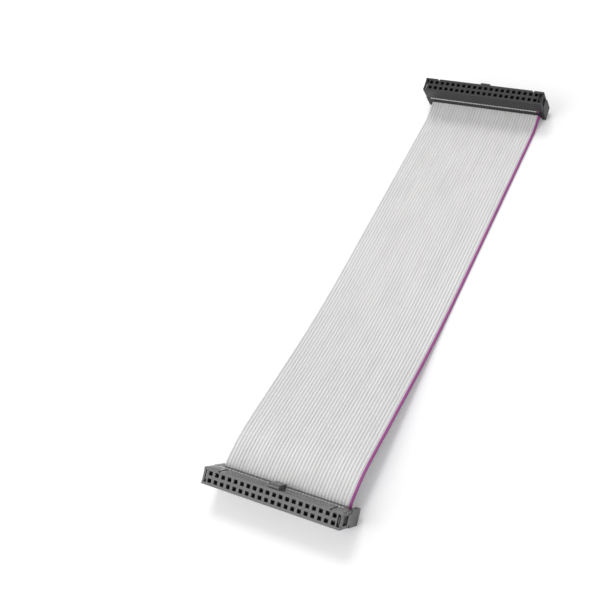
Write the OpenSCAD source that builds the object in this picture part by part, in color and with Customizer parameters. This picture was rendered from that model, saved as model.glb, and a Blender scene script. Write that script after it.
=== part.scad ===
// Flat ribbon jumper cable with a two-row insulation-displacement socket at each end.
// X runs along the connectors, Y from the near connector to the far one, Z is up.

/* [Ribbon] */
// Contacts in each of a socket's two rows
row_contacts = 20; // [10:1:20]
// Spacing of the pins that the sockets fit
pitch = 2.54; // [2.4:0.02:2.7]
// Diameter of one wire over its insulation
wire_d = 0.9; // [0.8:0.02:1.0]
// Diameter of the copper core of a wire
core_d = 0.38; // [0.3:0.02:0.42]
// Thickness of the web that bonds one wire to the next
web_t = 0.3; // [0.2:0.02:0.34]
// Length of ribbon between the two connectors
free_len = 203.2; // [160:0.4:600]
// Radius of the bend right behind the near connector
exit_r = 4; // [3:0.5:8]
// Slope at which the ribbon rises from that bend
rise = 12; // [8:1:16]
// Radius of the low hump that follows
hump_r = 50; // [30:5:80]
// Slope at which the ribbon comes down from its hump
slope = 7; // [4:0.5:9]
// Radius in which the ribbon comes to lie flat
landing_r = 400; // [100:10:420]
// Radius in which the ribbon lifts to the far connector
lift_r = 20; // [10:1:24]

/* [Resting] */
// Lean of the near connector from upright
near_lean = 35.6; // [30:0.2:42]
// Lean of the far connector from upright
far_lean = 21; // [19:0.5:30]

/* [Housing] */
// Thickness of a connector across its two rows
conn_t = 6.1; // [5.9:0.1:6.8]
// Distance from the last hole's middle to the end of the housing
end_len = 3.02; // [2.9:0.02:3.6]
// Height of the housing that holds the contacts
housing_h = 7; // [6.6:0.1:9]
// Side of a square pin hole
hole_w = 1.5; // [1.2:0.05:1.6]
// Width of the polarising key
key_w = 4.0; // [3:0.1:5]
// Height of the key above the side face
key_t = 1.5; // [0.6:0.1:1.6]
// Setback of the key from the mating face
key_setback = 1.1; // [0.5:0.1:2]
// Width of the grooves beside the key
groove_w = 0.9; // [0.5:0.05:1.2]
// Depth of the grooves beside the key
groove_d = 0.7; // [0.3:0.05:0.9]
// Distance from the left end to the left groove
groove_left = 6.15; // [5:0.05:7]
// Distance from the right end to the right groove
groove_right = 4.75; // [4:0.05:6]
// Width of the end recess that takes a latch arm
recess_w = 4.3; // [3.8:0.1:4.5]
// Rounding of the housing's upright edges
edge_r = 0.35; // [0.1:0.05:0.6]

/* [Cover] */
// Thickness of the cover that the ribbon folds round
cover_h = 3.2; // [3.0:0.1:4]
// How deep a wire seats in the cover's and housing's grooves
seat_d = 0.25; // [0.2:0.01:0.28]
// Thickness of a latch arm
arm_t = 1.1; // [0.9:0.05:1.2]
// Distance from the mating face to the tip of a latch arm
arm_setback = 4.6; // [4:0.1:5.4]
// How far an ear's back lies in front of the strain relief's back
ear_drop = 0.6; // [0.3:0.05:1.2]

/* [Strain relief] */
// Thickness of the strain relief bar
relief_h = 3.1; // [2.8:0.1:4]
// Width of the strain relief bar
relief_w = 4.4; // [3.6:0.1:5.6]

/* [Contacts] */
// Sheet thickness of a contact
contact_t = 0.4; // [0.3:0.02:0.5]
// Width of the blade that cuts into the ribbon
blade_w = 1.1; // [0.96:0.02:1.2]
// Gap between the two prongs that grip a pin
grip_gap = 0.5; // [0.4:0.02:0.6]
// Distance from the mating face to the tips of the prongs
contact_setback = 2.2; // [1:0.1:2.5]

/* [Hidden] */
$fn = 32;
eps = 0.02;
fit = 0.04;

housing_grey = [0.27, 0.27, 0.28];
ribbon_grey = [0.84, 0.83, 0.83];
edge_purple = [0.58, 0.28, 0.54];
tin = [0.78, 0.76, 0.70];
tinned_copper = [0.80, 0.78, 0.74];

// Ribbon across its width
wires = 2 * row_contacts;
wire_pitch = pitch / 2;
first_wire_x = -(wires - 1) / 2 * wire_pitch;
edge_wire_x = -first_wire_x;
split_x = edge_wire_x - wire_pitch / 2;
ribbon_half = edge_wire_x + wire_d / 2;
function wire_x(i) = first_wire_x + i * wire_pitch;
function hole_x(j) = (j - (row_contacts - 1) / 2) * pitch;

// Heights in a connector, counted from the back of its strain relief
fold_mid = relief_h + wire_d / 2;
cover_z = relief_h + wire_d;
joint_gap = wire_d - 2 * seat_d;
housing_z = cover_z + cover_h + joint_gap;
joint_mid = housing_z - joint_gap / 2;
conn_h = housing_z + housing_h;

// The fold of the ribbon round the cover
loop_chords = 4;
loop_r = (joint_mid - fold_mid) / 2;
loop_mid = (joint_mid + fold_mid) / 2;
cover_r = (loop_r - wire_d / 2) * cos(90 / loop_chords);
fold_k = 1.75;

// Sizes along a connector
body_half = (row_contacts - 1) / 2 * pitch + end_len;
arm_out = 0.15;
end_half = body_half + arm_out;
ear_in = ribbon_half + 0.45;
arm_in = end_half - arm_t;
row_k = pitch / 2;

// Latch: the tip of the cover's arm stops behind a catch of the housing
recess_floor = body_half - 1.75;
arm_w = recess_w - 0.3;
arm_tip_z = conn_h - arm_setback;
catch_w = 2.6;
catch_h = 2.0;
catch_z = arm_tip_z + 0.06;
catch_reach = arm_in + 0.7 - recess_floor;

// Strain relief: a tab at each end sits in a notch of the cover's ear
relief_half = ear_in - 0.12;
tab_w = 2.4;
tab_h = 1.1;
tab_len = 0.45;
tab_z = 1.2;

// Contact
prong_w = 0.42;
grip_len = 1.2;
fork_w = grip_gap + 2 * prong_w + 0.1;
fork_root = 0.8;
fork_root_z = housing_z + 1.2;
core_gap = 0.03;
blade_slot = core_d + 2 * core_gap;
blade_tip = 0.55;
blade_z = joint_mid - wire_d / 2 - blade_tip;
pocket_z = blade_z - 0.25;
blade_shift = wire_pitch / 2;
core_clear = 0.15;
contact_tip_z = conn_h - contact_setback;

// Where the connectors stand: each leans over on the lower edge of its back
function rest_z(lean) = max(
    relief_w / 2 * sin(lean),
    conn_t / 2 * sin(lean) - ear_drop * cos(lean)
);

// A ribbon route is a list of [length, radius, turn, chords], with turn in degrees to the
// left. A place is [y, z, heading].
function step(p, s) = s[2] == 0
    ? [p[0] + s[0] * cos(p[2]), p[1] + s[0] * sin(p[2]), p[2]]
    : let (side = sign(s[2]), h2 = p[2] + s[2]) [
        p[0] + side * s[1] * (sin(h2) - sin(p[2])),
        p[1] - side * s[1] * (cos(h2) - cos(p[2])),
        h2
    ];
function walk(route, i, p) = i == len(route)
    ? [p]
    : concat([p], walk(route, i + 1, step(p, route[i])));
// Every stretch cut into its chords
function chords(route) = [
    for (s = route, k = [1 : s[3]]) [s[0] / s[3], s[1], s[2] / s[3]]
];

seat_len = conn_t / 2 + fold_k;
lead_out = 0.3;
near_rest = rest_z(near_lean);
far_rest = rest_z(far_lean);
near_exit_z = near_rest + conn_t / 2 * sin(near_lean) + fold_mid * cos(near_lean);
far_exit_z = far_rest - conn_t / 2 * sin(far_lean) + fold_mid * cos(far_lean);
bend_end_z = near_exit_z + lead_out * sin(near_lean) + exit_r * (cos(rise) - cos(near_lean));
slope_start_z = bend_end_z + hump_r * (cos(slope) - cos(rise));
slope_end_z = wire_d / 2 + landing_r * (1 - cos(slope));
slope_len = (slope_start_z - slope_end_z) / sin(slope);
lift_end_z = wire_d / 2 + lift_r * (1 - cos(far_lean));
lead_in = (far_exit_z - lift_end_z) / sin(far_lean);
bend_arcs = exit_r * (near_lean - rise) + hump_r * (rise + slope);
arc_len = (bend_arcs + landing_r * slope + lift_r * far_lean) * PI / 180;
flat_len = free_len - lead_out - slope_len - lead_in - arc_len;

route = chords([
    [seat_len, 0, 0, 1],
    [0, loop_r, 180, loop_chords],
    [seat_len + lead_out, 0, 0, 1],
    [0, exit_r, rise - near_lean, 1],
    [0, hump_r, -(rise + slope), 1],
    [slope_len, 0, 0, 1],
    [0, landing_r, slope, 1],
    [flat_len, 0, 0, 1],
    [0, lift_r, far_lean, 1],
    [lead_in + seat_len, 0, 0, 1],
    [0, loop_r, 180, loop_chords],
    [seat_len, 0, 0, 1]
]);

// The object is centred along Y on what it covers
near_reach = conn_t / 2 * cos(near_lean) + conn_h * sin(near_lean);
raw_start = [
    conn_t / 2 * cos(near_lean) - joint_mid * sin(near_lean),
    near_rest + conn_t / 2 * sin(near_lean) + joint_mid * cos(near_lean),
    180 + near_lean
];
raw_places = walk(route, 0, raw_start);
far_raw_y = raw_places[len(route)][0] + conn_t / 2 * cos(far_lean) + joint_mid * sin(far_lean);
far_reach = conn_t / 2 * cos(far_lean) - ear_drop * sin(far_lean);
near_y = (near_reach - far_raw_y - far_reach) / 2;
far_y = near_y + far_raw_y;
places = walk(route, 0, [raw_start[0] + near_y, raw_start[1], raw_start[2]]);

module at_near() {
    translate([0, near_y, near_rest]) rotate([near_lean, 0, 0]) children();
}

module at_far() {
    translate([0, far_y, far_rest]) rotate([far_lean, 0, 0]) children();
}

// Ribbon

// Outline of wires a to b between the edges x0 and x1: over the top, then back underneath
function top_side(a, b, x0, x1) = [
    [x0, web_t / 2],
    for (i = [a : b]) each [
        [wire_x(i), wire_d / 2],
        [i < b ? wire_x(i) + wire_pitch / 2 : x1, web_t / 2]
    ]
];
function outline(a, b, x0, x1) = let (top = top_side(a, b, x0, x1), n = len(top)) [
    each top,
    for (i = [n - 1 : -1 : 0]) [top[i][0], -top[i][1]]
];

// Sweeps an outline, drawn as width by height, along the whole route
module along_route(shape) {
    n = len(shape);
    rings = len(places);
    points = [
        for (p = places, q = shape)
            [q[0], p[0] - q[1] * sin(p[2]), p[1] + q[1] * cos(p[2])]
    ];
    sides = [
        for (r = [0 : rings - 2], i = [0 : n - 1]) let (j = (i + 1) % n)
            [r * n + i, (r + 1) * n + i, (r + 1) * n + j, r * n + j]
    ];
    start = [for (i = [0 : n - 1]) i];
    end = [for (i = [n - 1 : -1 : 0]) (rings - 1) * n + i];
    polyhedron(points, concat([start], sides, [end]), convexity = 10);
}

// Slit that one blade cuts into the ribbon
module blade_slit(side, j) {
    translate([hole_x(j) + side * blade_shift, side * row_k, joint_mid])
        cube([blade_w + fit, contact_t + fit, 2 * wire_d], center = true);
}

// What the contacts and cores of one connector take out of the ribbon
module ribbon_cuts(side) {
    for (j = [0 : row_contacts - 2]) blade_slit(1, j);
    for (j = [0 : row_contacts - 1]) blade_slit(-1, j);
    wire_cores(side, 0, wires - 2, eps);
}

// The edge wire stays whole between the two tines of its blade
module edge_wire_cuts(side) {
    difference() {
        blade_slit(1, row_contacts - 1);
        translate([edge_wire_x, row_k, joint_mid])
            cube([blade_slot - fit, 1, 3 * wire_d], center = true);
    }
    wire_cores(side, wires - 1, wires - 1, eps);
}

module ribbon_insulation() {
    color(ribbon_grey) resize([split_x + ribbon_half, 0, 0]) difference() {
        along_route(outline(0, wires - 2, -ribbon_half, split_x));
        at_near() ribbon_cuts(1);
        at_far() ribbon_cuts(-1);
    }
}

module edge_wire_insulation() {
    color(edge_purple) resize([ribbon_half - split_x, 0, 0]) difference() {
        along_route(outline(wires - 1, wires - 1, split_x, ribbon_half));
        at_near() edge_wire_cuts(1);
        at_far() edge_wire_cuts(-1);
    }
}

// Copper where the blades grip it: from a wire's cut end to where the ribbon folds
module wire_cores(side, first, last, grow = 0) {
    for (i = [first : last])
        translate([wire_x(i), side * (seat_len - fold_k + grow), joint_mid])
            rotate([side * 90, 0, 0])
                cylinder(d = core_d + 2 * grow, h = seat_len - core_clear + 2 * grow, $fn = 5);
}

// Housing

module housing_outline() {
    for (x = [-1, 1], y = [-1, 1])
        translate([x * (body_half - edge_r), y * (conn_t / 2 - edge_r)]) circle(edge_r);
    square([2 * body_half, conn_t - 2 * edge_r], center = true);
    square([2 * (body_half - edge_r), conn_t], center = true);
}

module polarising_key() {
    key_h = housing_h - key_setback;
    lead = 0.5;
    translate([-key_w / 2, conn_t / 2, housing_z]) rotate([90, 0, 90])
        linear_extrude(key_w) polygon([
            [-eps, 0], [key_t, 0], [key_t, key_h - lead], [key_t - lead, key_h], [-eps, key_h]
        ]);
}

module key_grooves() {
    for (x = [-body_half + groove_left, body_half - groove_right])
        translate([x, conn_t / 2, housing_z - eps])
            linear_extrude(housing_h + 2 * eps)
                polygon([
                    [-groove_w / 2, eps], [-groove_w / 6, -groove_d],
                    [groove_w / 6, -groove_d], [groove_w / 2, eps]
                ]);
}

// Grooves in which the wires lie, a clearance away from the ribbon's ridges and webs
module wire_grooves() {
    w = wire_pitch / 2;
    web = web_t / 2 + fit;
    ridge = wire_d / 2 + fit;
    for (i = [0 : wires - 1])
        translate([wire_x(i), 0, joint_mid]) rotate([90, 0, 0])
            linear_extrude(conn_t + 2, center = true)
                polygon([[-w, web], [0, ridge], [w, web], [w, -web], [0, -ridge], [-w, -web]]);
}

module contact_cavities() {
    blade_room = blade_w + 2 * fit;
    for (j = [0 : row_contacts - 1], side = [-1, 1])
        translate([hole_x(j), side * row_k, 0]) {
            translate([-hole_w / 2, -hole_w / 2, fork_root_z - fit])
                cube([hole_w, hole_w, conn_h - fork_root_z + 1]);
            translate([
                side * blade_shift - blade_room / 2,
                -(contact_t + 2 * fit) / 2,
                housing_z - 1
            ])
                cube([blade_room, contact_t + 2 * fit, fork_root_z + fit - housing_z + 1]);
        }
}

module end_recess() {
    translate([recess_floor, -recess_w / 2, housing_z - 1])
        cube([body_half - recess_floor + 1, recess_w, housing_h + 2]);
}

// Wedge whose flat side stands in front of the latch arm's tip
module latch_catch() {
    translate([recess_floor, catch_w / 2, catch_z]) rotate([90, 0, 0])
        linear_extrude(catch_w) polygon([
            [-eps, 0], [catch_reach, 0], [catch_reach, 0.5], [-eps, catch_h]
        ]);
}

module housing() {
    color(housing_grey) {
        difference() {
            union() {
                translate([0, 0, housing_z]) linear_extrude(housing_h) housing_outline();
                polarising_key();
            }
            contact_cavities();
            wire_grooves();
            key_grooves();
            end_recess();
            mirror([1, 0, 0]) end_recess();
        }
        latch_catch();
        mirror([1, 0, 0]) latch_catch();
    }
}

// Cover

// The rounded side is at -Y; the ribbon comes out at +Y
module cover_core() {
    front = conn_t / 2;
    translate([-ear_in, 0, 0]) {
        translate([0, -fold_k, loop_mid]) rotate([0, 90, 0]) cylinder(r = cover_r, h = 2 * ear_in);
        translate([0, -fold_k, cover_z]) cube([2 * ear_in, front + fold_k, 2 * cover_r]);
        translate([0, -fold_k, loop_mid])
            cube([2 * ear_in, front + fold_k, cover_z + cover_h - loop_mid]);
    }
}

module cover_end() {
    ear_h = housing_z - fit - ear_drop;
    arm_h = arm_tip_z - ear_drop;
    difference() {
        union() {
            translate([ear_in, -conn_t / 2, ear_drop])
                cube([end_half - ear_in, conn_t, ear_h]);
            translate([arm_in, -arm_w / 2, ear_drop]) cube([arm_t, arm_w, arm_h]);
        }
        translate([end_half - 0.9, -conn_t, ear_drop - 1]) cube([0.25, 2 * conn_t, 3.4]);
        relief_notch();
    }
}

// Notch in the ear's inner face for the strain relief's tab
module relief_notch() {
    translate([ear_in - 1, -tab_w / 2 - fit, tab_z - fit])
        cube([1 + tab_len + fit, tab_w + 2 * fit, tab_h + 2 * fit]);
}

module blade_pockets() {
    room = blade_w + 0.1;
    for (j = [0 : row_contacts - 1], side = [-1, 1])
        translate([
            hole_x(j) + side * blade_shift - room / 2,
            side * row_k - contact_t / 2 - fit,
            pocket_z
        ])
            cube([room, contact_t + 2 * fit, joint_mid - pocket_z]);
}

module cover() {
    color(housing_grey) difference() {
        union() {
            cover_core();
            cover_end();
            mirror([1, 0, 0]) cover_end();
        }
        wire_grooves();
        blade_pockets();
    }
}

// Strain relief

module strain_relief() {
    corner = 0.5;
    grip = 0.3;
    color(housing_grey) {
        difference() {
            translate([-relief_half, 0, 0]) rotate([90, 0, 90]) linear_extrude(2 * relief_half)
                union() {
                    for (y = [-1, 1])
                        translate([y * (relief_w / 2 - corner), corner]) circle(corner);
                    translate([-relief_w / 2 + corner, 0])
                        square([relief_w - 2 * corner, relief_h]);
                    translate([-relief_w / 2, corner]) square([relief_w, relief_h - corner]);
                }
            for (y = [-1, 0, 1])
                translate([-relief_half - 1, y * relief_w / 4 - grip / 2, relief_h - grip])
                    cube([2 * relief_half + 2, grip, 1]);
        }
        for (x = [-1, 1])
            translate([x * (relief_half + tab_len / 2), 0, tab_z + tab_h / 2])
                cube([tab_len + 2 * eps, tab_w, tab_h], center = true);
    }
}

// Contacts

// One flat stamping: a tuning fork for the pin above, an offset blade for the wire below
module contact(side) {
    shift = side * blade_shift;
    fork_z = contact_tip_z - fork_root_z;
    translate([0, contact_t / 2, 0]) rotate([90, 0, 0]) linear_extrude(contact_t)
        difference() {
            union() {
                translate([-fork_w / 2, fork_root_z]) square([fork_w, fork_z]);
                translate([shift - blade_w / 2, housing_z + 0.3])
                    square([blade_w, fork_root_z - housing_z - 0.3 + eps]);
                for (t = [-1, 1]) translate([shift, 0]) polygon([
                    [t * blade_slot / 2, housing_z + 0.3 + eps],
                    [t * blade_slot / 2, blade_z + blade_tip],
                    [t * (blade_slot / 2 + blade_w / 2) / 2, blade_z],
                    [t * blade_w / 2, blade_z + blade_tip],
                    [t * blade_w / 2, housing_z + 0.3 + eps]
                ]);
            }
            translate([-grip_gap / 2, contact_tip_z - grip_len])
                square([grip_gap, grip_len + 1]);
            translate([-grip_gap / 2 - 0.1, fork_root_z + fork_root])
                square([grip_gap + 0.2, contact_tip_z - grip_len - fork_root_z - fork_root + eps]);
            for (t = [-1, 1]) polygon([
                [t * grip_gap / 2 - t * eps, contact_tip_z - 0.4],
                [t * (grip_gap / 2 + 0.22), contact_tip_z + eps],
                [t * grip_gap / 2 - t * eps, contact_tip_z + eps]
            ]);
        }
}

module contact_row(side) {
    color(tin) for (j = [0 : row_contacts - 1])
        translate([hole_x(j), side * row_k, 0]) contact(side);
}

// Nodes

at_near() housing();  // near_housing
at_near() cover();  // near_cover
at_near() strain_relief();  // near_strain_relief
at_near() contact_row(1);  // near_contacts_odd_row
at_near() contact_row(-1);  // near_contacts_even_row
at_far() housing();  // far_housing
at_far() rotate([0, 0, 180]) cover();  // far_cover
at_far() strain_relief();  // far_strain_relief
at_far() contact_row(1);  // far_contacts_odd_row
at_far() contact_row(-1);  // far_contacts_even_row
ribbon_insulation();
edge_wire_insulation();
at_near() color(tinned_copper) wire_cores(1, 0, wires - 1);  // near_wire_cores
at_far() color(tinned_copper) wire_cores(-1, 0, wires - 1);  // far_wire_cores
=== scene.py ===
"""Looks of the ribbon cable: a finely ribbed ribbon, moulded connectors, and the photo's camera."""

import math

import bmesh
import bpy
from mathutils import Matrix, Vector


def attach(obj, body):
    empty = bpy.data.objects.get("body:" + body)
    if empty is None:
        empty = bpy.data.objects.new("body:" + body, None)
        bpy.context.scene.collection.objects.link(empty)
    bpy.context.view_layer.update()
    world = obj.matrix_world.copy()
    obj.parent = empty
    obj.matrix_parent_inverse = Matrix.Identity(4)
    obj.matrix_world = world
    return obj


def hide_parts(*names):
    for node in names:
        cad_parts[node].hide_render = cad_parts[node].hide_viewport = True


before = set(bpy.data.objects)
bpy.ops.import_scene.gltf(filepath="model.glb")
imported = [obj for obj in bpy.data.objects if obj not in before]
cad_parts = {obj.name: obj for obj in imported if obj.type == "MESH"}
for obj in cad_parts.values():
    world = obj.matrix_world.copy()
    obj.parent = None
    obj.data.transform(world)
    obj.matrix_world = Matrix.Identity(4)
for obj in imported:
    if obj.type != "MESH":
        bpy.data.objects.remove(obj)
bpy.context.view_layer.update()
MM = 0.001
TINY = 1e-6

# Wires and connectors, in millimetres and degrees: the same values as the part's source
ROW_CONTACTS = 20
WIRES = 2 * ROW_CONTACTS
PITCH = 2.54
WIRE_PITCH = PITCH / 2
WIRE_D = 0.9
WEB_T = 0.3
NEAR_LEAN = 35.6
FAR_LEAN = 21
CONN_T = 6.1
END_LEN = 3.02
HOUSING_H = 7
RECESS_D = 1.75
COVER_H = 3.2
SEAT_D = 0.25
ARM_SETBACK = 4.6
EAR_DROP = 0.6
RELIEF_H = 3.1
RELIEF_W = 4.4
FOLD_MID = RELIEF_H + WIRE_D / 2
JOINT_GAP = WIRE_D - 2 * SEAT_D
HOUSING_Z = RELIEF_H + WIRE_D + COVER_H + JOINT_GAP
JOINT_MID = HOUSING_Z - JOINT_GAP / 2
CONN_H = HOUSING_Z + HOUSING_H
BODY_HALF = (ROW_CONTACTS - 1) / 2 * PITCH + END_LEN
RECESS_FLOOR = BODY_HALF - RECESS_D
ARM_TIP_Z = CONN_H - ARM_SETBACK

# Course of the ribbon: the same values as the part's source
FREE_LEN = 203.2
LEAD_OUT = 0.3
EXIT_R = 4
RISE = 12
HUMP_R = 50
SLOPE = 7
LANDING_R = 400
LIFT_R = 20
LOOP_R = (JOINT_MID - FOLD_MID) / 2
LOOP_CENTRE = 1.75
SEAT_LEN = CONN_T / 2 + LOOP_CENTRE

# End of a latch arm, a frame round a window, and the catch behind it, in millimetres
SINK = 0.02
ARM_IN = BODY_HALF - 0.8
ARM_OUT = BODY_HALF + 0.08
ARM_W = 4.25
TIP_Z = CONN_H - 0.35
HEAD_H = 0.8
WINDOW_W = 3.3
CATCH_Z = ARM_TIP_Z + 1
RAMP_W = 2.2
RAMP_TOP_Z = CONN_H - 0.6
RAMP_REACH = ARM_IN - 0.05
RAMP_BEVEL_X = 0.3
RAMP_BEVEL_Z = 0.5
BASE_TOP_Z = CONN_H - 1.1
BASE_REACH = ARM_IN - 0.04

# Softened edges, in millimetres
MOULDING_EDGE = 0.07
ARM_EDGE = 0.08

# Steps of a wire's round section, and the angle from which an edge stays sharp
ARC_STEPS = 6
CREASE = 50

# Colours, light and dark, in linear red, green and blue
GREY_VINYL = ((0.74, 0.735, 0.735), (0.69, 0.685, 0.685))
GREY_SHEEN = (1, 1, 1)
PURPLE_VINYL = ((0.33, 0.07, 0.27), (0.28, 0.055, 0.23))
PURPLE_SHEEN = (1, 0.8, 0.95)
TINNED_BRONZE = ((0.62, 0.60, 0.56), (0.40, 0.38, 0.34))
TINNED_COPPER = ((0.74, 0.71, 0.67), (0.52, 0.49, 0.45))
PLASTIC_TINT = (1.0, 0.985, 1.0)
FLOOR_COLOUR = (0.86, 0.86, 0.87)

# Floor, in metres, and the strengths of its glow and of the sky
FLOOR_HALF = 3.0
FLOOR_GLOW = 0.15
SKY_TOWARD = Vector((-0.5, -0.7, 0.5)).normalized()
SKY_DIM = 0.45
SKY_BRIGHT = 0.9

# Camera, fitted to thirty-nine pin holes of the photo, in pixels, millimetres and degrees
PHOTO_W = 600
FOCAL_PX = 1016.8
CAMERA_AT = Vector((144.70, -225.04, 308.07)) * MM
CAMERA_AZIMUTH = -41.11
CAMERA_ELEVATION = 48.28
CAMERA_ROLL = -19.63
SENSOR_W = 36

# Nearest and farthest that the camera sees, in metres
CLIP = (0.01, 20)


# Route of the ribbon


def sin(degrees):
    return math.sin(math.radians(degrees))


def cos(degrees):
    return math.cos(math.radians(degrees))


def rest_z(lean):
    """Height of a leaning connector's back centre above the surface."""
    return max(RELIEF_W / 2 * sin(lean), CONN_T / 2 * sin(lean) - EAR_DROP * cos(lean))


def route_stretches():
    """Stretches of the ribbon from cut end to cut end, each as length, radius, turn and steps."""
    near_z = rest_z(NEAR_LEAN) + CONN_T / 2 * sin(NEAR_LEAN) + FOLD_MID * cos(NEAR_LEAN)
    far_z = rest_z(FAR_LEAN) - CONN_T / 2 * sin(FAR_LEAN) + FOLD_MID * cos(FAR_LEAN)
    bend_z = near_z + LEAD_OUT * sin(NEAR_LEAN) + EXIT_R * (cos(RISE) - cos(NEAR_LEAN))
    hump_z = bend_z + HUMP_R * (cos(SLOPE) - cos(RISE))
    slope_len = (hump_z - WIRE_D / 2 - LANDING_R * (1 - cos(SLOPE))) / sin(SLOPE)
    lead_in = (far_z - WIRE_D / 2 - LIFT_R * (1 - cos(FAR_LEAN))) / sin(FAR_LEAN)
    bends = EXIT_R * (NEAR_LEAN - RISE) + HUMP_R * (RISE + SLOPE)
    arcs = math.radians(bends + LANDING_R * SLOPE + LIFT_R * FAR_LEAN)
    flat_len = FREE_LEN - LEAD_OUT - slope_len - lead_in - arcs
    return [
        (SEAT_LEN, 0, 0, 2),
        (0, LOOP_R, 180, 14),
        (SEAT_LEN + LEAD_OUT, 0, 0, 3),
        (0, EXIT_R, RISE - NEAR_LEAN, 5),
        (0, HUMP_R, -(RISE + SLOPE), 8),
        (slope_len, 0, 0, 8),
        (0, LANDING_R, SLOPE, 8),
        (flat_len, 0, 0, 10),
        (0, LIFT_R, FAR_LEAN, 8),
        (lead_in + SEAT_LEN, 0, 0, 4),
        (0, LOOP_R, 180, 14),
        (SEAT_LEN, 0, 0, 2),
    ]


def walk(start, stretches):
    """Places (y, z, heading) along the stretches, with the length walked so far."""
    y, z, heading = start
    places, walked = [(y, z, heading, 0.0)], 0.0
    for length, radius, turn, steps in stretches:
        for _ in range(steps):
            if turn:
                side, step = math.copysign(1, turn), turn / steps
                y += side * radius * (sin(heading + step) - sin(heading))
                z -= side * radius * (cos(heading + step) - cos(heading))
                heading += step
                walked += radius * abs(math.radians(step))
            else:
                y += length / steps * cos(heading)
                z += length / steps * sin(heading)
                walked += length / steps
            places.append((y, z, heading, walked))
    return places


def ribbon_places():
    """The ribbon's places in the row frame, and where both connectors stand along y."""
    half = CONN_T / 2
    start = (
        half * cos(NEAR_LEAN) - JOINT_MID * sin(NEAR_LEAN),
        rest_z(NEAR_LEAN) + half * sin(NEAR_LEAN) + JOINT_MID * cos(NEAR_LEAN),
        180 + NEAR_LEAN,
    )
    raw = walk(start, route_stretches())
    far_y = raw[-1][0] + half * cos(FAR_LEAN) + JOINT_MID * sin(FAR_LEAN)
    near_reach = half * cos(NEAR_LEAN) + CONN_H * sin(NEAR_LEAN)
    far_reach = half * cos(FAR_LEAN) - EAR_DROP * sin(FAR_LEAN)
    shift = (near_reach - far_y - far_reach) / 2
    places = [(y + shift, z, heading, walked) for y, z, heading, walked in raw]
    return places, shift, shift + far_y


# Meshes


def add_object(name, data):
    """A new object in the scene, with the data that it holds."""
    obj = bpy.data.objects.new(name, data)
    bpy.context.scene.collection.objects.link(obj)
    return obj


def wire_x(i):
    return (i - (WIRES - 1) / 2) * WIRE_PITCH


def ribbed_outline(first, last, x0, x1):
    """Outline of some wires as (x, height): round ridges over webs, on top and underneath."""
    root = math.asin(WEB_T / WIRE_D)
    top = []
    for i in range(first, last + 1):
        for k in range(ARC_STEPS + 1):
            a = math.pi - root - k * (math.pi - 2 * root) / ARC_STEPS
            top.append((wire_x(i) + WIRE_D / 2 * math.cos(a), WIRE_D / 2 * math.sin(a)))
    if x0 < top[0][0] - TINY:
        top.insert(0, (x0, WEB_T / 2))
    if x1 > top[-1][0] + TINY:
        top.append((x1, WEB_T / 2))
    return top + [(x, -h) for x, h in reversed(top)]


def sweep(name, outline, places):
    """A closed mesh of the outline carried along the places."""
    n = len(outline)
    points = [
        (x * MM, (y - h * sin(a)) * MM, (z + h * cos(a)) * MM)
        for y, z, a, _ in places
        for x, h in outline
    ]
    faces = [
        (r * n + i, (r + 1) * n + i, (r + 1) * n + (i + 1) % n, r * n + (i + 1) % n)
        for r in range(len(places) - 1)
        for i in range(n)
    ]
    half = n // 2
    for first, ring in ((True, 0), (False, len(places) - 1)):
        for i in range(half - 1):
            quad = [ring * n + k for k in (i, i + 1, n - 2 - i, n - 1 - i)]
            faces.append(tuple(quad if first else reversed(quad)))
    mesh = bpy.data.meshes.new(name)
    mesh.from_pydata(points, [], faces)
    mesh.update()
    across = mesh.attributes.new("across", "FLOAT", "POINT")
    along = mesh.attributes.new("along", "FLOAT", "POINT")
    across.data.foreach_set("value", [x for _ in places for x, _ in outline])
    along.data.foreach_set("value", [walked for *_, walked in places for _ in outline])
    mesh.shade_smooth()
    mesh.set_sharp_from_angle(angle=math.radians(CREASE))
    return add_object(name, mesh)


def connector_stand(y, lean):
    """Place of a connector that leans from upright, with the middle of its back at y."""
    place = Matrix.Translation(Vector((0, y, rest_z(lean))) * MM)
    return place @ Matrix.Rotation(math.radians(lean), 4, "X")


def connector_block(name, outline, low, high, along, stand):
    """A block of a connector: an outline over (y, z) carried along x, or over (x, z) along y."""
    mesh = bpy.data.meshes.new(name)
    bm = bmesh.new()
    rings = []
    for end in (low, high):
        corners = [Vector((end, a, z) if along == "x" else (a, end, z)) for a, z in outline]
        rings.append([bm.verts.new(stand @ (corner * MM)) for corner in corners])
    n = len(outline)
    for ring in rings:
        bm.faces.new(ring)
    for i in range(n):
        bm.faces.new((rings[0][i], rings[0][(i + 1) % n], rings[1][(i + 1) % n], rings[1][i]))
    bmesh.ops.recalc_face_normals(bm, faces=bm.faces)
    bm.to_mesh(mesh)
    bm.free()
    return add_object(name, mesh)


def arm_window(name, side, stand):
    """The end of a latch arm: a frame round the window that the catch stands behind."""
    sill, head = ARM_TIP_Z - SINK, TIP_Z - HEAD_H
    half, hole = ARM_W / 2, WINDOW_W / 2
    outline = [
        (-half, sill), (-half, TIP_Z), (half, TIP_Z), (half, sill),
        (hole, sill), (hole, head), (-hole, head), (-hole, sill),
    ]
    return connector_block(name, outline, side * ARM_IN, side * ARM_OUT, "x", stand)


def catch_ramp(name, side, stand):
    """The part of the housing's catch that shows between the recess's floor and the arm."""
    inner, top = RECESS_FLOOR - SINK, RAMP_TOP_Z
    profile = [
        (inner, CATCH_Z), (RAMP_REACH, CATCH_Z), (RAMP_REACH, top - RAMP_BEVEL_Z),
        (RAMP_REACH - RAMP_BEVEL_X, top), (inner, top),
    ]
    outline = [(side * x, z) for x, z in profile]
    return connector_block(name, outline, -RAMP_W / 2, RAMP_W / 2, "y", stand)


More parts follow.
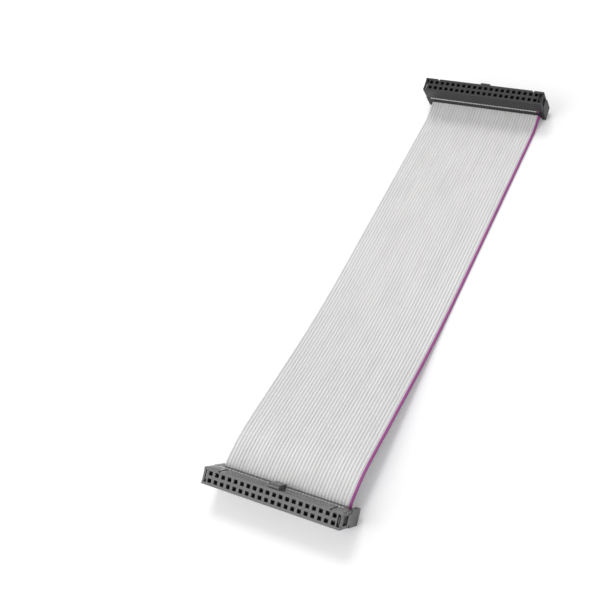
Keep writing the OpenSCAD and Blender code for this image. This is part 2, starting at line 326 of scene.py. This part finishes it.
def catch_base(name, side, stand):
    """The broad foot of the catch, which closes the window from behind."""
    inner, top = RECESS_FLOOR - SINK, BASE_TOP_Z
    profile = [(inner, CATCH_Z), (BASE_REACH, CATCH_Z), (BASE_REACH, top), (inner, top)]
    outline = [(side * x, z) for x, z in profile]
    return connector_block(name, outline, -ARM_W / 2, ARM_W / 2, "y", stand)


def round_edges(obj, width):
    """Rounds the moulding's sharp edges a little."""
    weld = obj.modifiers.new("weld", "WELD")
    weld.merge_threshold = TINY
    bevel = obj.modifiers.new("edges", "BEVEL")
    bevel.width = width * MM
    bevel.segments = 2
    bevel.limit_method = "ANGLE"
    bevel.angle_limit = math.radians(40)
    bevel.use_clamp_overlap = True
    bevel.harden_normals = False


# Materials

# Sockets of a colour mix: its two colours, and the mix
MIX_A, MIX_B, MIX_OUT = 6, 7, 2


class Nodes:
    """A material's node tree, with short ways to add and join nodes."""

    def __init__(self, name):
        self.material = bpy.data.materials.new(name)
        self.material.use_nodes = True
        self.tree = self.material.node_tree
        self.shader = self.tree.nodes["Principled BSDF"]

    def add(self, kind, **inputs):
        node = self.tree.nodes.new(kind)
        for key, value in inputs.items():
            node.inputs[key.replace("_", " ")].default_value = value
        return node

    def join(self, source, output, target, socket):
        self.tree.links.new(source.outputs[output], target.inputs[socket])

    def noise(self, scale, detail=4.0, rough=0.55, stretch=(1, 1, 1)):
        """Noise over the object's own metres, stretched along the axes."""
        place = self.add("ShaderNodeTexCoord")
        mapping = self.add("ShaderNodeMapping", Scale=stretch)
        noise = self.add("ShaderNodeTexNoise", Scale=scale, Detail=detail, Roughness=rough)
        self.join(place, "Object", mapping, "Vector")
        self.join(mapping, "Vector", noise, "Vector")
        return noise

    def ramp(self, source, output, stops):
        ramp = self.add("ShaderNodeValToRGB")
        elements = ramp.color_ramp.elements
        while len(elements) < len(stops):
            elements.new(0.5)
        for element, (position, colour) in zip(elements, stops):
            element.position = position
            element.color = (*colour, 1)
        self.join(source, output, ramp, "Fac")
        return ramp

    def remap(self, source, output, low, high, from_low=0.3, from_high=0.7):
        node = self.add(
            "ShaderNodeMapRange", From_Min=from_low, From_Max=from_high, To_Min=low, To_Max=high,
        )
        self.join(source, output, node, "Value")
        return node

    def mix(self, source, output, blend="MIX"):
        """A mix of colours, whose first colour comes from the source."""
        node = self.tree.nodes.new("ShaderNodeMix")
        node.data_type = "RGBA"
        node.blend_type = blend
        self.join(source, output, node, MIX_A)
        return node

    def bump(self, source, output, strength, distance, under=None):
        bump = self.add("ShaderNodeBump", Strength=strength, Distance=distance)
        self.join(source, output, bump, "Height")
        if under:
            self.join(under, "Normal", bump, "Normal")
        return bump


def grey(value, tint=(1, 1, 1)):
    return tuple(value * t for t in tint)


def moulded_plastic(name, depth, roughness, reflection):
    """Glass-filled nylon with fine eroded grain, cloudy sheen, worn arrises; depth is its grey."""
    n = Nodes(name)

    def shade(times):
        return grey(times * depth, PLASTIC_TINT)

    clouds = n.noise(scale=220, detail=5)
    base = n.ramp(clouds, "Fac", [(0.30, shade(0.75)), (0.52, shade(1)), (0.75, shade(1.35))])
    fibres = n.noise(scale=2600, detail=3, stretch=(0.25, 1, 1))
    fibre_mask = n.remap(fibres, "Fac", low=0, high=0.35, from_low=0.52, from_high=0.72)
    fibred = n.mix(base, "Color")
    fibred.inputs[MIX_B].default_value = (*shade(2.5), 1)
    n.join(fibre_mask, "Result", fibred, "Factor")
    geometry = n.add("ShaderNodeNewGeometry")
    worn_mask = n.remap(geometry, "Pointiness", low=0, high=0.55, from_low=0.52, from_high=0.62)
    worn = n.mix(fibred, MIX_OUT)
    worn.inputs[MIX_B].default_value = (*shade(4.5), 1)
    n.join(worn_mask, "Result", worn, "Factor")
    n.join(worn, MIX_OUT, n.shader, "Base Color")
    gloss = n.remap(clouds, "Fac", low=roughness, high=roughness + 0.1)
    n.join(gloss, "Result", n.shader, "Roughness")
    flow_marks = n.noise(scale=160, detail=2, stretch=(0.4, 1, 1))
    flow = n.bump(flow_marks, "Fac", strength=0.25, distance=0.00012)
    eroded = n.noise(scale=7000, detail=2, rough=0.6)
    grain = n.bump(eroded, "Fac", strength=0.18, distance=0.00003, under=flow)
    n.join(grain, "Normal", n.shader, "Normal")
    n.shader.inputs["Specular IOR Level"].default_value = reflection
    return n.material


def vinyl(name, colours, sheen_colour):
    """Extruded vinyl: drawn lines along each wire, faint clouding, a soft waxy sheen."""
    n = Nodes(name)
    light, dark = colours
    place = n.add("ShaderNodeCombineXYZ")
    for source, axis in (("along", "Y"), ("across", "X")):
        length = n.add("ShaderNodeAttribute")
        length.attribute_name = source
        n.join(length, "Fac", place, axis)

    def drawn(stretch, detail=3.0):
        mapping = n.add("ShaderNodeMapping", Scale=stretch)
        noise = n.add("ShaderNodeTexNoise", Scale=1.0, Detail=detail, Roughness=0.6)
        n.join(place, "Vector", mapping, "Vector")
        n.join(mapping, "Vector", noise, "Vector")
        return noise

    clouds = drawn((0.12, 0.05, 1), detail=5.0)
    base = n.ramp(clouds, "Fac", [(0.25, dark), (0.55, light), (0.8, light)])
    lines = n.ramp(drawn((2.4, 0.02, 1)), "Fac", [(0.3, grey(0.9)), (0.6, grey(1))])
    lined = n.mix(base, "Color", blend="MULTIPLY")
    lined.inputs["Factor"].default_value = 1.0
    n.join(lines, "Color", lined, MIX_B)
    n.join(lined, MIX_OUT, n.shader, "Base Color")
    gloss = n.remap(drawn((1.2, 0.35, 1)), "Fac", low=0.36, high=0.52)
    n.join(gloss, "Result", n.shader, "Roughness")
    ripple = n.bump(drawn((0.5, 0.25, 1), detail=2.0), "Fac", strength=0.25, distance=0.0002)
    skin = n.bump(drawn((14, 3.5, 1)), "Fac", strength=0.22, distance=0.00003, under=ripple)
    n.join(skin, "Normal", n.shader, "Normal")
    n.shader.inputs["Subsurface Weight"].default_value = 0.06
    n.shader.inputs["Subsurface Radius"].default_value = (0.0006, 0.0005, 0.0005)
    n.shader.inputs["Subsurface Scale"].default_value = 1.0
    n.shader.inputs["Specular IOR Level"].default_value = 0.45
    n.shader.inputs["Sheen Weight"].default_value = 0.05
    n.shader.inputs["Sheen Tint"].default_value = (*sheen_colour, 1)
    return n.material


def bare_metal(name, colours, roughness):
    """Stamped metal with rolling lines and uneven tarnish."""
    n = Nodes(name)
    light, dark = colours
    tarnish = n.noise(scale=900, detail=5)
    base = n.ramp(tarnish, "Fac", [(0.35, dark), (0.65, light)])
    n.join(base, "Color", n.shader, "Base Color")
    lines = n.noise(scale=5000, detail=2, stretch=(1, 0.06, 1))
    gloss = n.remap(lines, "Fac", low=roughness - 0.08, high=roughness + 0.1)
    n.join(gloss, "Result", n.shader, "Roughness")
    rolled = n.bump(lines, "Fac", strength=0.3, distance=0.00001)
    n.join(rolled, "Normal", n.shader, "Normal")
    n.shader.inputs["Metallic"].default_value = 1.0
    return n.material


def dress(obj, material):
    obj.data.materials.clear()
    obj.data.materials.append(material)


# The cable

places, near_y, far_y = ribbon_places()
edge_x = wire_x(WIRES - 1)
split_x = edge_x - WIRE_PITCH / 2
outer_x = edge_x + WIRE_D / 2

ribbon = sweep("ribbon", ribbed_outline(0, WIRES - 2, -outer_x, split_x), places)
dress(ribbon, vinyl("grey_vinyl", GREY_VINYL, GREY_SHEEN))
edge_wire = sweep("edge_wire", ribbed_outline(WIRES - 1, WIRES - 1, split_x, outer_x), places)
dress(edge_wire, vinyl("purple_vinyl", PURPLE_VINYL, PURPLE_SHEEN))

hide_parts("ribbon_insulation")
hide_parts("edge_wire_insulation")
for piece in (ribbon, edge_wire):
    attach(piece, "root")

# The far connector gets a darker, duller copy of the same plastic: its darker grey is painted
# shade, standing in for the light that falls less on it
near_plastic = moulded_plastic("charcoal_plastic", depth=0.024, roughness=0.20, reflection=0.5)
far_plastic_painted_shade = moulded_plastic("charcoal_plastic_painted_shade", depth=0.011, roughness=0.38, reflection=0.25)
tin = bare_metal("tinned_bronze", TINNED_BRONZE, roughness=0.34)
tinned_wire = bare_metal("tinned_copper", TINNED_COPPER, roughness=0.30)
for name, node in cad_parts.items():
    if "contacts" in name:
        dress(node, tin)
    elif "cores" in name:
        dress(node, tinned_wire)
    elif "insulation" not in name:
        # far pieces take the darker copy of the plastic, whose darker grey is painted shade
        dress(node, near_plastic if name.startswith("near") else far_plastic_painted_shade)
        round_edges(node, MOULDING_EDGE)

# The arm ends and catches take the same two plastics: the far one's darker grey is painted shade
for end, y, lean, plastic in (
    ("near", near_y, NEAR_LEAN, near_plastic), ("far", far_y, FAR_LEAN, far_plastic_painted_shade),
):
    stand = connector_stand(y, lean)
    for hand, side in (("left", -1), ("right", 1)):
        for piece in (
            arm_window(f"{end}_{hand}_arm_window", side, stand),
            catch_ramp(f"{end}_{hand}_catch_ramp", side, stand),
            catch_base(f"{end}_{hand}_catch_base", side, stand),
        ):
            dress(piece, plastic)
            round_edges(piece, ARM_EDGE)
            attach(piece, "root")

# Stage and camera


def pale_floor():
    """Pale card that keeps shadows and looks near white to the camera and in reflections."""
    n = Nodes("pale_floor")
    n.tree.nodes.remove(n.shader)
    out = n.tree.nodes["Material Output"]
    diffuse = n.add("ShaderNodeBsdfDiffuse", Color=(*FLOOR_COLOUR, 1))
    glow = n.add("ShaderNodeEmission")
    path = n.add("ShaderNodeLightPath")
    seen = n.add("ShaderNodeMath")
    seen.operation = "MAXIMUM"
    n.join(path, "Is Camera Ray", seen, 0)
    n.join(path, "Is Glossy Ray", seen, 1)
    level = n.add("ShaderNodeMath")
    level.operation = "MULTIPLY"
    level.inputs[1].default_value = FLOOR_GLOW
    n.join(seen, "Value", level, 0)
    n.join(level, "Value", glow, "Strength")
    both = n.add("ShaderNodeAddShader")
    n.join(diffuse, "BSDF", both, 0)
    n.join(glow, "Emission", both, 1)
    n.join(both, "Shader", out, "Surface")
    return n.material


def area_light(name, at, size, power):
    """A square soft lamp aimed at the middle of the cable."""
    lamp = bpy.data.lights.new(name, "AREA")
    lamp.size = size
    lamp.energy = power
    obj = add_object(name, lamp)
    obj.location = at
    obj.rotation_euler = (-Vector(at)).to_track_quat("-Z", "Y").to_euler()


def sky():
    """A white sky, brightest low in front of the cable and to its left."""
    world = bpy.data.worlds.new("studio")
    world.use_nodes = True
    tree = world.node_tree
    background = tree.nodes["Background"]
    background.inputs["Color"].default_value = (1, 1, 1, 1)
    place = tree.nodes.new("ShaderNodeTexCoord")
    facing = tree.nodes.new("ShaderNodeVectorMath")
    facing.operation = "DOT_PRODUCT"
    facing.inputs[1].default_value = SKY_TOWARD
    level = tree.nodes.new("ShaderNodeMapRange")
    level.inputs["From Min"].default_value = 0.0
    level.inputs["To Min"].default_value = SKY_DIM
    level.inputs["To Max"].default_value = SKY_BRIGHT
    tree.links.new(place.outputs["Generated"], facing.inputs[0])
    tree.links.new(facing.outputs["Value"], level.inputs["Value"])
    tree.links.new(level.outputs["Result"], background.inputs["Strength"])
    return world


def photo_camera():
    """The photo's camera: its place, its turn and the width of its view."""
    lens = bpy.data.cameras.new("camera")
    lens.sensor_width = SENSOR_W
    lens.lens = FOCAL_PX / PHOTO_W * SENSOR_W
    lens.clip_start, lens.clip_end = CLIP
    camera = add_object("camera", lens)
    turn = (
        Matrix.Rotation(math.radians(-CAMERA_AZIMUTH), 4, "Z")
        @ Matrix.Rotation(math.radians(90 - CAMERA_ELEVATION), 4, "X")
        @ Matrix.Rotation(math.radians(CAMERA_ROLL), 4, "Z")
    )
    camera.matrix_world = Matrix.Translation(CAMERA_AT) @ turn
    return camera


mesh = bpy.data.meshes.new("floor")
corners = [(x * FLOOR_HALF, y * FLOOR_HALF, 0) for x, y in ((-1, -1), (1, -1), (1, 1), (-1, 1))]
mesh.from_pydata(corners, [], [(0, 1, 2, 3)])
floor = add_object("floor", mesh)
dress(floor, pale_floor())

area_light("back_key", at=(-0.60, 1.10, 2.40), size=0.9, power=22)
area_light("front_left_box", at=(-0.82, -1.38, 1.18), size=1.2, power=13)
bpy.context.scene.world = sky()
bpy.context.scene.camera = photo_camera()
bpy.context.scene.view_settings.view_transform = "Standard"
